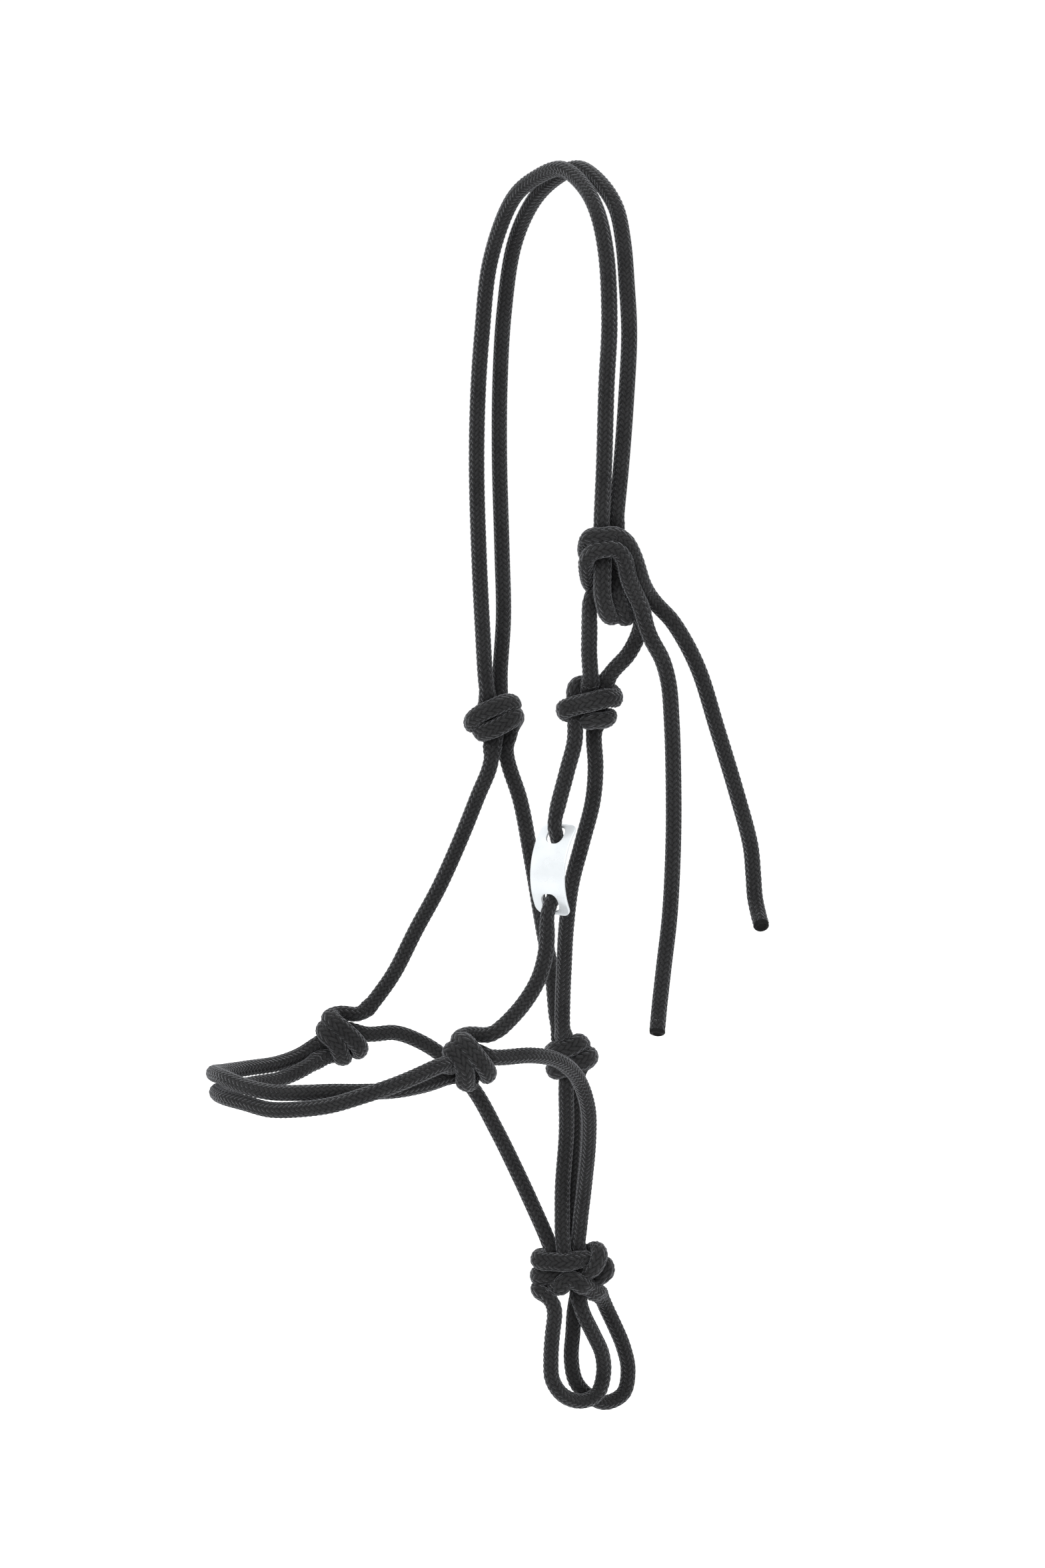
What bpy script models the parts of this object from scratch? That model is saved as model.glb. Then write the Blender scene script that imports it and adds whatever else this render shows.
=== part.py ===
"""Rope halter: one thick braided cord tied with seven knots, and a name plate on its near cheek piece.

Frame: metres in the scene, millimetres in this file's sizes. The horse faces -X, its left (near) side
is -Y and +Z is up. The origin is the underside of the crown over the poll, where the halter hangs.
The cord is divided at its knots: each stretch between two knots is a strand, each knot is one solid.
"""
import math

import bmesh
import bpy
import numpy as np
from mathutils import Matrix, Vector

# ---------------------------------------------------------------- driving dimensions, in millimetres
MM = 0.001
ROPE_DIAMETER = 8.4
JOINT_GAP = 0.6           # face to face, where a strand meets a knot
SWING_GAP = 2.4           # where a strand turns at a knot
POINT_STEP = 15.0         # spacing of the strands' points
KNOT_STEP = 4.0           # spacing of the points inside a knot
PLATE_STEP = 6.0          # spacing of the points on the strand that carries the plate
KNOT_VOXEL = 1.1
KNOT_TRIANGLES = 620      # in a knot of two cords; a knot of three or four has more
STRAIGHT_INTO_KNOT = 3.0  # length over which a cord keeps its direction as it enters a knot
TIP_LENGTH = 7.0          # melted, sealed end of the cord
TIP_NARROWING = 0.9       # thickness of the sealed end's face, as a share of the cord
CURVE_SAMPLES = 24        # fine steps between two points of a route
ROUNDED_END = 0.62        # thickness of a rounded end's face, as a share of the cord
ROUNDING_LENGTH = 2.0     # a rounded end reaches its full thickness in this length
QUARTER_TURN = -28.0      # degrees about Z: the knots' broad faces are turned this far forward

PLATE_LENGTH = 54.0       # along its bend
PLATE_WIDTH = 23.0
PLATE_THICKNESS = 1.5
PLATE_BEND_RADIUS = 36.0
PLATE_BAR = 2.5           # metal left at each end, past the slot
PLATE_SLOT_LENGTH = 10.5
PLATE_SLOT_WIDTH = 11.0
PLATE_HEIGHT = -369.0     # Z of its middle, on the near cheek strand
PLATE_STANDOFF = 5.3      # its middle in front of the strand's mean line
PLATE_TURN = -66.0        # degrees about Z: the way the plate's convex face looks
# The cord's weave through the plate: (distance along from the plate's middle, depth behind its middle)
PLATE_WEAVE = [(24.5, 3.0), (19.0, 5.0), (13.5, 7.7), (5.0, 7.0)]
SQUEEZED = 0.9            # the cord's thickness in the plate, as a share of its own
SQUEEZE_MARGIN = 8.0      # how far past the plate's ends the cord is squeezed
WEAVE_MARGIN = 9.0        # how far past the weave the strand's own points begin
PLATE_CORNER = 5.0        # corner radius of the plate's outline
PLATE_FACETS = 10         # flats that make up the plate's bend
SLOT_ROUNDNESS = 0.42     # corner radius of a slot, as a share of its length

COLLECTION_NAME = "rope_halter"

# ---------------------------------------------------------------- routes of the strands, in millimetres
STRANDS = {
    "crown_strand_front": [
        (-24.5, 54, -288), (-23.5, 60, -258), (-22, 67, -219), (-21, 72, -166), (-19, 74, -125),
        (-17, 73, -92), (-15.5, 65.5, -50), (-12.5, 44, -14.5), (-9, 21, -1), (-6, 0, 4.2),
        (-5, -21, -2.5), (-7, -42, -16), (-10, -58, -38), (-14.5, -70, -74), (-19.5, -76, -107),
        (-22.5, -79, -150), (-24.5, -80, -181)],
    "crown_strand_rear": [
        (-12.6, 60, -289), (-9, 62.5, -250), (-7.5, 67, -215), (-6.5, 72, -160), (-5, 74, -118),
        (-3.5, 72, -80), (-2.5, 62, -42), (-1.5, 41, -16), (1, 18, -1.5), (3.2, -2, 4.4),
        (4.5, -23, -1.5), (4.2, -43, -14.5), (1.3, -56.5, -32), (-1.7, -66, -54), (-4, -73, -80),
        (-8, -77, -115), (-12, -79, -150), (-14.8, -79, -176)],
    "tie_loop_front": [(-23, -65, -263), (-25.2, -67.5, -251), (-26.2, -70, -239)],
    "tie_loop_rear": [(-11.8, -68, -264), (-5.8, -76, -254), (-2, -78, -246.5)],
    "cheek_strand_far": [
        (-21, 54, -331), (-28, 57, -350), (-37, 62, -376), (-48, 67, -403), (-60, 72, -427),
        (-73, 75, -452), (-85, 76, -467)],
    "throat_strand_far": [
        (-9, 58, -332), (-4, 52, -354), (-3, 40, -387), (-5, 21.5, -425), (-4.5, 12, -450), (-4, 7.5, -475)],
    "cheek_strand_near": [
        (-30, -62, -299), (-37, -64, -318), (-43.5, -67, -338), (-46, -69, -355), (-49, -71, -373),
        (-51.5, -73.5, -395), (-56, -76, -412), (-61, -77, -427), (-70, -77, -440), (-82, -77, -451)],
    "throat_strand_near": [
        (-16, -56, -301), (-13, -53, -318), (-12.5, -49, -338), (-15.5, -42, -363), (-18, -35, -386),
        (-17, -27, -412), (-13.5, -18, -437), (-10.5, -11, -457), (-8.5, -7, -474)],
    "nose_strand_upper": [
        (-128, 76, -492), (-147, 71, -495), (-170, 62, -493.5), (-192.5, 46.5, -490), (-208, 26, -485),
        (-213, 2, -482), (-208.5, -19, -483.6), (-201, -33, -484.3), (-191, -47, -482.8),
        (-178, -58.7, -481.2), (-163, -66.7, -481.2), (-145, -71, -481.5), (-125, -70, -480.3),
        (-116, -68.5, -479)],
    "nose_strand_lower": [
        (-131, 67, -498), (-150, 62, -501.8), (-168, 55.5, -501), (-188, 43.5, -498.8), (-207, 24, -495),
        (-213, 1, -492.8), (-209.5, -18, -492.5), (-203, -34.5, -493.3), (-193.5, -51.5, -490.7),
        (-182, -67.5, -486.3), (-167.5, -76.8, -480.8), (-150, -81, -475.8), (-130, -80, -470.5),
        (-122, -78.5, -468.5)],
    "chin_strand_far": [
        (-88, 76, -486), (-73, 75, -486), (-60, 72, -491), (-46, 66, -501), (-33, 54, -519),
        (-25, 41, -541), (-19, 25, -565), (-15, 11, -585), (-12, 4.5, -597)],
    "chin_strand_near": [
        (-83, -72, -470), (-61, -67, -472), (-39, -57, -479), (-20, -45, -493), (-7, -34, -514),
        (-1, -24, -536), (3, -12, -565), (3.5, -6.5, -586), (3.5, -4.5, -597)],
    "fiador_strand_left": [
        (-3, -1, -510), (-1, 2, -536), (-4, 1, -568), (-5.5, -1.5, -586), (-6, -2.5, -597)],
    "fiador_strand_right": [
        (8, 9, -513), (9, 10, -539), (6, 8, -570), (3, 6, -589), (1.5, 5, -597)],
    "lead_loop_front": [
        (-11, -4, -635), (-13, -4, -651), (-14, -4, -666), (-13, -4, -678), (-6, -4, -688),
        (6, -4, -693), (16, -4, -690), (20, -4, -679), (19, -4, -667), (13, -4, -654), (5, -4, -638)],
    "lead_loop_rear": [
        (6, 5, -640), (5, 5, -655), (4, 5, -670), (7, 5, -684), (16, 5, -694), (27, 5, -699),
        (38, 5, -695), (41, 5, -682), (38, 5, -668), (31, 5, -652), (25, 5, -640)],
    "tail_long": [
        (-1, -90, -241), (6, -92, -254), (10.5, -92, -268), (12.6, -92, -289), (13.8, -92, -318),
        (14, -92, -355), (12, -92, -396), (7.8, -93, -425), (3, -97, -445), (-2.5, -104, -459)],
    "tail_short": [
        (5, -84, -224), (13, -88, -233), (21, -91, -246), (30, -92, -264), (40, -93, -294),
        (52.5, -94, -332), (61.5, -94, -362), (62.8, -95, -378), (62.2, -98, -390), (61, -104, -398.5),
        (58.8, -111.5, -404)],
}
SWINGING_STARTS = ("tail_long", "tail_short", "lead_loop_front", "lead_loop_rear",
                   "nose_strand_upper", "nose_strand_lower")
SWINGING_ENDS = ("lead_loop_front", "lead_loop_rear", "nose_strand_upper", "nose_strand_lower")

# ---------------------------------------------------------------- knots
# Each knot: its centre, and the runs of cord through it. A run is (strand coming in, its end, points,
# strand going out, its end); an end is 0 or -1. Points are (right, up, out) from the centre, out being
# the knot's broad face. In an overhand the two cords go down the core, round the foot, over the face
# side by side and out behind. In the crown tie the doubled crown comes down in front of the tie loop's
# bend, turns up behind it and comes round over its own front to the right, where its ends leave. In
# the lead knot each of four cords passes over the next one and under the one before.
KNOTS = {
    "cheek_knot_far": ((-18, 57, -308), [
        ("crown_strand_front", 0, [
            (-3.5, 15, 3), (-2.5, 7, -3), (-6.5, -0.5, -8), (-11.5, -3.5, -4), (-12.5, 0.5, 3),
            (-7, 5.5, 8), (0.5, 9, 9), (7, 11, 4), (9, 9.5, -3), (4, 2.5, -9), (-1, -6, -5),
            (-1, -13.5, 1)],
         "cheek_strand_far", 0),
        ("crown_strand_rear", 0, [
            (4.5, 14, -4), (4, 6.5, -3), (-0.5, -2, -4), (-6.5, -7.5, -3), (-7, -6.5, 3),
            (-1, -4, 9), (6.5, 0, 9), (12, 2.5, 4), (12.5, 2.5, -3), (11, -3.5, -9),
            (7.5, -8.5, -7), (6, -13, -4)],
         "throat_strand_far", 0)]),
    "cheek_knot_near": ((-20, -60, -282), [
        ("tie_loop_front", 0, [
            (0, 14, 4), (0.5, 6.5, -2), (-5, -3.5, -7), (-12, -6, -4), (-12.5, -1.5, 3),
            (-6.5, 1, 8), (1, 3, 10), (9, 4.5, 6), (12, 3.5, -1), (7, 6, -8), (-2, 8.5, -7),
            (-8, 9, -2), (-9, 4, -1), (-7, -4, -1), (-7.5, -11.5, 3)],
         "cheek_strand_near", 0),
        ("tie_loop_rear", 0, [
            (8, 12, 0), (5.5, 4.5, -4), (1.5, -4.5, -4), (-3.5, -9, 0), (-1, -8.5, 5), (5, -8, 6),
            (9.5, -8.5, 1), (8.5, -7.5, -6), (3.5, -10.5, -9), (1.5, -14, -5)],
         "throat_strand_near", 0)]),
    "nose_knot_far": ((-106, 73, -485.5), [
        ("nose_strand_lower", 0, [
            (-14.5, -10, 10), (-8.5, -8, 3), (-1.5, -11, -3), (-2.5, -10.5, 3), (-2, -3, 9),
            (-6.5, 2.5, 10), (-10.5, 5, 4), (-9.5, 5.5, -4), (-2, 3.5, -8), (7, 1, -8)],
         "chin_strand_far", 0),
        ("nose_strand_upper", 0, [
            (-14.5, -3, 4), (-5.5, -1.5, -1), (5, -5.5, -6), (9.5, -8, -2), (8.5, -2, 6),
            (2.5, 5, 9), (-3.5, 10, 8), (-8, 11.5, 2), (-5.5, 13, -4), (0, 13.5, -6), (6, 12, -8),
            (12.5, 13, -11)],
         "cheek_strand_far", -1)]),
    "nose_knot_near": ((-101.5, -73, -471), [
        ("nose_strand_upper", -1, [
            (-11, -7, 0), (-4, -6, -5), (0.5, -10.5, -4), (-2.5, -11, 2), (-2, -3, 8),
            (-5.5, 4, 9), (-10, 7, 3), (-7.5, 7.5, -4), (0.5, 4, -8), (9, 2.5, -4)],
         "chin_strand_near", 0),
        ("nose_strand_lower", -1, [
            (-11, 2.5, 8), (-5, 2, 2), (5.5, -3, -5), (10.5, -7, -1), (8.5, -0.5, 6), (3, 7, 9),
            (-2.5, 11.5, 7), (-6, 12.5, 1), (-3, 15, -4), (3, 15, -6), (8.5, 14.5, -5),
            (14, 16, -3)],
         "cheek_strand_near", -1)]),
    "throat_knot": ((-0.5, 2, -495), [
        ("throat_strand_far", -1, [
            (-4, 14.5, -4), (-4, 7, -7), (-7, 2, -6), (-9, 5, 0), (-4.5, 9, 6), (3, 11.5, 7),
            (8, 10.5, 0), (7, 3.5, -8), (0, -2.5, -7), (-1, -7, 2)],
         "fiador_strand_left", 0),
        ("throat_strand_near", -1, [
            (-2, 14.5, 8), (-0.5, 5.5, 1), (-2.5, -2.5, -2), (-7.5, -6.5, -1), (-3.5, -4.5, 6),
            (4.5, -0.5, 9), (11, 2, 6), (13.5, 2, -2), (8.5, -4, -11), (5, -11, -11)],
         "fiador_strand_right", 0)]),
    "crown_tie_knot": ((-16, -79, -210), [
        ("crown_strand_front", -1, [
            (-7, 22.5, 2), (-6.5, 13.5, 2), (-6.5, 3.5, 6), (-6.5, -9, 7), (-4, -18.5, 4),
            (-1, -23, -4), (-3.5, -17, -11), (-8.5, -10, -12), (-13.5, -3.5, -6), (-15, 3, 1),
            (-15, 10.5, 7), (-10.5, 15.5, 10), (-4, 17.5, 11), (2.5, 15.5, 10), (6.5, 9.5, 8),
            (8.5, 0.5, 6), (11.5, -9.5, 4), (15.5, -20.5, 2)],
         "tail_long", 0),
        ("crown_strand_rear", -1, [
            (0.5, 26, -3), (-2, 16, -6), (-3.5, 7.5, -5), (-1.5, 0, -3), (1, -8, -1),
            (3.5, -15, 1), (6.5, -21, 0), (7.5, -23, -7), (3, -16.5, -12), (-2.5, -6, -14),
            (-9.5, 3.5, -13), (-14.5, 11.5, -8), (-15, 18, -1), (-13, 22.5, 4), (-7.5, 24.5, 6),
            (0, 24, 6), (5.5, 20.5, 6), (9.5, 12.5, 4), (12.5, 3, 3), (16.5, -6, -2)],
         "tail_short", 0),
        ("tie_loop_front", -1, [
            (-13.5, -20.5, -2), (-12, -12.5, -3), (-6.5, -8, -4), (1, -9.5, -3), (8.5, -14, -2),
            (13.5, -20.5, -4), (14.5, -28.5, -6)],
         "tie_loop_rear", -1)]),
    "lead_knot": ((2, 0, -617), [
        ("chin_strand_far", -1, [
            (-11.5, 13.5, 3), (-8, 4.5, -3), (-5, -0.5, -2), (-10.5, -1, 5), (-18, -2.5, 2),
            (-20, -6, -5), (-16, -10, -9), (-19.5, -10.5, -2), (-18, -12, 5), (-14, -12.5, 8),
            (-10.5, -15, 8)],
         "lead_loop_front", 0),
        ("fiador_strand_left", -1, [
            (-6, 12.5, 5), (-6.5, 5.5, -4), (-13, 5, -9), (-19.5, 7.5, -1), (-15, 7.5, 6),
            (-7.5, 8, 10), (1, 8.5, 8), (6.5, 9, 2), (5.5, 3, -4), (2.5, -6.5, -1), (3.5, -15, 0)],
         "lead_loop_front", -1),
        ("chin_strand_near", -1, [
            (2.5, 13, 2), (5, 7, -4), (10, 8.5, -7), (14.5, 12, -2), (15, 9.5, 6), (11, 3.5, 7),
            (5, -1.5, 2), (-2.5, -8.5, -2), (-9, -9.5, 1), (-6, -3.5, 9), (1, -2.5, 10),
            (7.5, -6.5, 4), (12, -12, -4), (16.5, -17.5, -11)],
         "lead_loop_rear", -1),
        ("fiador_strand_right", -1, [
            (-2.5, 13, -5), (2.5, 4.5, -12), (12.5, 1.5, -12), (19, 2, -4), (19.5, -1, 2),
            (14.5, -4.5, 1), (8.5, -9.5, -6), (3, -16.5, -9)],
         "lead_loop_rear", 0)]),
}


# ---------------------------------------------------------------- geometry helpers
def clear_scene():
    for obj in list(bpy.data.objects):
        bpy.data.objects.remove(obj, do_unlink=True)


def smooth_route(points, step):
    """Points at even spacing along a smooth curve through the route's own points."""
    p = np.array(points, float)
    p = np.vstack([2 * p[0] - p[1], p, 2 * p[-1] - p[-2]])
    fine = []
    for i in range(1, len(p) - 2):
        a, b, c, d = p[i - 1:i + 3]
        k0, k1, k2 = (max(math.sqrt(np.linalg.norm(q - r)), 1e-6) for q, r in ((b, a), (c, b), (d, c)))
        m1 = (c - b) - k1 * ((c - a) / (k0 + k1) - (b - a) / k0)
        m2 = (c - b) + k1 * ((d - c) / k2 - (d - b) / (k1 + k2))
        for t in np.linspace(0, 1, CURVE_SAMPLES, endpoint=False):
            h = (2 * t**3 - 3 * t**2 + 1, t**3 - 2 * t**2 + t, -2 * t**3 + 3 * t**2, t**3 - t**2)
            fine.append(h[0] * b + h[1] * m1 + h[2] * c + h[3] * m2)
    fine.append(p[-2])
    fine = np.array(fine)
    along = np.concatenate([[0], np.cumsum(np.linalg.norm(np.diff(fine, axis=0), axis=1))])
    count = max(2, int(round(along[-1] / step)))
    even = np.linspace(0, along[-1], count + 1)
    return np.stack([np.interp(even, along, fine[:, k]) for k in range(3)], axis=1)


def trim(points, cut_start, cut_end):
    """The route with a length taken off each end."""
    along = np.concatenate([[0], np.cumsum(np.linalg.norm(np.diff(points, axis=0), axis=1))])
    inside = (along > cut_start + 1) & (along < along[-1] - cut_end - 1)
    ends = [[np.interp(s, along, points[:, k]) for k in range(3)] for s in (cut_start, along[-1] - cut_end)]
    return np.vstack([ends[0], points[inside], ends[1]])


def in_knot(points, centre):
    """World places of points given right, up and out from a knot's centre."""
    turn = math.radians(QUARTER_TURN)
    axes = np.array([(math.cos(turn), math.sin(turn), 0.0), (0.0, 0.0, 1.0),
                     (math.sin(turn), -math.cos(turn), 0.0)])
    return [tuple(np.array(centre) + np.array(p) @ axes) for p in points]


def strand_end(name, end, inset):
    """A strand's end point and one just inside the knot on the strand's own line."""
    route = STRANDS[name] if end == 0 else STRANDS[name][::-1]
    tip, following = np.array(route[0], float), np.array(route[1], float)
    back = (tip - following) / np.linalg.norm(tip - following)
    return tip + back * inset, tip + back * (inset + STRAIGHT_INTO_KNOT)


def run_points(entry, entry_end, points, leaving, leaving_end):
    inset_in = SWING_GAP if moves(entry, entry_end) else JOINT_GAP
    inset_out = SWING_GAP if moves(leaving, leaving_end) else JOINT_GAP
    first = strand_end(entry, entry_end, inset_in)
    last = strand_end(leaving, leaving_end, inset_out)
    return [first[0], first[1], *points, last[1], last[0]]


def moves(name, end):
    return name in (SWINGING_STARTS if end == 0 else SWINGING_ENDS)


# ---------------------------------------------------------------- materials
def material(name, colour, roughness, metallic=0.0):
    mat = bpy.data.materials.new(name)
    mat.use_nodes = True
    shader = mat.node_tree.nodes["Principled BSDF"]
    shader.inputs["Base Color"].default_value = (*colour, 1.0)
    shader.inputs["Roughness"].default_value = roughness
    shader.inputs["Metallic"].default_value = metallic
    return mat


# ---------------------------------------------------------------- object makers
def tube_curve(name, runs, radius, resolution, rounded=(False, False)):
    """A curve object of one or more round cords with filled ends."""
    curve = bpy.data.curves.new(name, "CURVE")
    curve.dimensions = "3D"
    curve.bevel_depth = radius * MM
    curve.bevel_resolution = resolution
    curve.use_fill_caps = True
    for points in runs:
        spline = curve.splines.new("POLY")
        spline.points.add(len(points) - 1)
        for slot, point in zip(spline.points, points):
            slot.co = (*(np.array(point) * MM), 1.0)
        if rounded[0]:
            spline.points[0].radius = ROUNDED_END
        if rounded[1]:
            spline.points[-1].radius = ROUNDED_END
    return bpy.data.objects.new(name, curve)


def with_rounded_ends(points, rounded):
    """Adds a point just behind a rounded end, where the cord is at its full thickness."""
    points = [np.array(p) for p in points]
    if rounded[0]:
        step = points[1] - points[0]
        points.insert(1, points[0] + step / np.linalg.norm(step) * ROUNDING_LENGTH)
    if rounded[1]:
        step = points[-2] - points[-1]
        points.insert(len(points) - 1, points[-1] + step / np.linalg.norm(step) * ROUNDING_LENGTH)
    return points


def add_strand(collection, name, mat):
    tip_cut = TIP_LENGTH + JOINT_GAP if name.startswith("tail") else 0.0
    rounded = (name in SWINGING_STARTS, name in SWINGING_ENDS)
    points = trim(smooth_route(route_of(name), POINT_STEP), 0.0, tip_cut)
    if name == "cheek_strand_near":
        points = smooth_route(route_of(name), PLATE_STEP)
    obj = tube_curve(name, [with_rounded_ends(points, rounded)], ROPE_DIAMETER / 2, 3, rounded)
    if name == "cheek_strand_near":
        squeeze_in_plate(obj)
    obj.data.materials.append(mat)
    collection.objects.link(obj)
    return obj


def add_tail_tip(collection, tail, mat):
    """The last few millimetres of a tail, melted into a hard, slightly flared end."""
    route = smooth_route(route_of(tail), 1.0)
    length = np.sum(np.linalg.norm(np.diff(route, axis=0), axis=1))
    points = trim(route, length - TIP_LENGTH, 0.0)
    points = points[[0, len(points) // 2, -1]]
    obj = tube_curve(tail + "_tip", [points], ROPE_DIAMETER / 2, 3)
    obj.data.splines[0].points[-1].radius = TIP_NARROWING
    obj.data.materials.append(mat)
    collection.objects.link(obj)


def add_knot(collection, name, runs, mat):
    """One solid of all the cords that run through a knot, closed up where they press together."""
    source = tube_curve(name + "_cords", runs, ROPE_DIAMETER / 2, 3)
    collection.objects.link(source)
    bpy.context.view_layer.update()
    mesh = bpy.data.meshes.new_from_object(source.evaluated_get(bpy.context.evaluated_depsgraph_get()))
    bpy.data.objects.remove(source)
    obj = bpy.data.objects.new(name, mesh)
    mesh.name = name
    mesh.materials.clear()
    mesh.materials.append(mat)
    collection.objects.link(obj)
    remesh = obj.modifiers.new("pressed_together", "REMESH")
    remesh.mode = "VOXEL"
    remesh.voxel_size = KNOT_VOXEL * MM
    bpy.context.view_layer.update()
    faces = len(obj.evaluated_get(bpy.context.evaluated_depsgraph_get()).data.polygons) * 2
    fewer = obj.modifiers.new("fewer_faces", "DECIMATE")
    wanted = KNOT_TRIANGLES * (1 + (len(runs) - 2) / 4)
    fewer.ratio = min(1.0, wanted / faces)
    return obj


def add_knots(collection, mat):
    for name, (centre, runs) in KNOTS.items():
        paths = []
        for entry, entry_end, points, leaving, leaving_end in runs:
            route = run_points(entry, entry_end, in_knot(points, centre), leaving, leaving_end)
            paths.append(smooth_route(route, KNOT_STEP))
        add_knot(collection, name, paths, mat)


# ---------------------------------------------------------------- name plate
def plate_frame():
    """The plate's middle and its directions: along (up the strand), side and front."""
    base = smooth_route(STRANDS["cheek_strand_near"], 1.0)
    k = np.argmin(abs(base[:, 2] - PLATE_HEIGHT))
    along = base[k - 12] - base[k + 12]
    along /= np.linalg.norm(along)
    turn = math.radians(PLATE_TURN)
    front = np.array([math.sin(turn), -math.cos(turn), 0.0])
    front -= along * (front @ along)
    front /= np.linalg.norm(front)
    return base[k] + front * PLATE_STANDOFF, along, np.cross(front, along), front


def route_of(name):
    """A strand's own points; the near cheek strand weaves through the plate's two slots."""
    route = STRANDS[name]
    if name != "cheek_strand_near":
        return route
    middle, along, _, front = plate_frame()
    clear = PLATE_WEAVE[0][0] + WEAVE_MARGIN
    above = [p for p in route if (np.array(p) - middle) @ along > clear]
    below = [p for p in route if (np.array(p) - middle) @ along < -clear]
    steps = PLATE_WEAVE + [(-reach, depth) for reach, depth in PLATE_WEAVE[::-1]]
    return above + [tuple(middle + along * reach - front * depth) for reach, depth in steps] + below


def squeeze_in_plate(obj):
    middle, along, _, _ = plate_frame()
    for point in obj.data.splines[0].points:
        reach = abs((np.array(point.co[:3]) / MM - middle) @ along)
        if reach < PLATE_LENGTH / 2 + SQUEEZE_MARGIN:
            point.radius = SQUEEZED


def rounded_rectangle(centre_x, half_x, half_y, radius):
    points = []
    for sign_x, sign_y, start in ((1, 1, 0), (-1, 1, 90), (-1, -1, 180), (1, -1, 270)):
        for turn in (0, 30, 60, 90):
            angle = math.radians(start + turn)
            points.append((centre_x + sign_x * (half_x - radius) + radius * math.cos(angle),
                           sign_y * (half_y - radius) + radius * math.sin(angle)))
    return points


def plate_blank(collection):
    """A flat mesh of the plate before it is bent, its length along X."""
    curve = bpy.data.curves.new("plate_blank", "CURVE")
    curve.dimensions = "2D"
    curve.fill_mode = "BOTH"
    curve.extrude = PLATE_THICKNESS / 2 * MM
    slot_centre = PLATE_LENGTH / 2 - PLATE_BAR - PLATE_SLOT_LENGTH / 2
    slot = (PLATE_SLOT_LENGTH / 2, PLATE_SLOT_WIDTH / 2, PLATE_SLOT_LENGTH * SLOT_ROUNDNESS)
    for outline in (rounded_rectangle(0, PLATE_LENGTH / 2, PLATE_WIDTH / 2, PLATE_CORNER),
                    rounded_rectangle(slot_centre, *slot), rounded_rectangle(-slot_centre, *slot)):
        spline = curve.splines.new("POLY")
        spline.points.add(len(outline) - 1)
        for point, (x, y) in zip(spline.points, outline):
            point.co = (x * MM, y * MM, 0, 1)
        spline.use_cyclic_u = True
    blank = bpy.data.objects.new("plate_blank", curve)
    collection.objects.link(blank)
    bpy.context.view_layer.update()
    mesh = bpy.data.meshes.new_from_object(blank.evaluated_get(bpy.context.evaluated_depsgraph_get()))
    bpy.data.objects.remove(blank)
    return mesh


def bend_plate(mesh):
    """Cuts the blank across every few millimetres and bends it to an arc along its length."""
    work = bmesh.new()
    work.from_mesh(mesh)
    bmesh.ops.remove_doubles(work, verts=work.verts, dist=0.00001)
    for k in range(1, PLATE_FACETS):
        cut = (k / PLATE_FACETS - 0.5) * PLATE_LENGTH
        bmesh.ops.bisect_plane(work, geom=work.verts[:] + work.edges[:] + work.faces[:], dist=1e-7,
                               plane_co=(cut * MM, 0, 0), plane_no=(1, 0, 0))
    bmesh.ops.triangulate(work, faces=work.faces)
    radius = PLATE_BEND_RADIUS * MM
    for vert in work.verts:
        angle = vert.co.x / radius
        reach = radius + vert.co.z
        vert.co.x = reach * math.sin(angle)
        vert.co.z = reach * math.cos(angle) - radius
    work.to_mesh(mesh)
    work.free()


def add_name_plate(collection, mat):
    """A flat blank with two slots, bent so that its ends stand back, threaded on the cheek strand."""
    mesh = plate_blank(collection)
    bend_plate(mesh)
    mesh.materials.clear()
    mesh.materials.append(mat)
    obj = bpy.data.objects.new("name_plate", mesh)
    collection.objects.link(obj)
    middle, along, side, front = plate_frame()
    turned = Matrix([along, side, front]).transposed().to_4x4()
    obj.matrix_world = Matrix.Translation(Vector(middle * MM)) @ turned


# ---------------------------------------------------------------- build
def build():
    clear_scene()
    collection = bpy.data.collections.new(COLLECTION_NAME)
    bpy.context.scene.collection.children.link(collection)
    rope = material("braided_cord", (0.016, 0.016, 0.017), 0.85)
    sealed = material("melted_cord_end", (0.006, 0.006, 0.006), 0.4)
    metal = material("plate_metal", (0.85, 0.86, 0.87), 0.25, 1.0)
    for name in STRANDS:
        add_strand(collection, name, rope)
    for tail in ("tail_long", "tail_short"):
        add_tail_tip(collection, tail, sealed)
    add_knots(collection, rope)
    add_name_plate(collection, metal)


build()
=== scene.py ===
import math

import bmesh
import bpy
import numpy as np
from mathutils import Matrix, Vector


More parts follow.
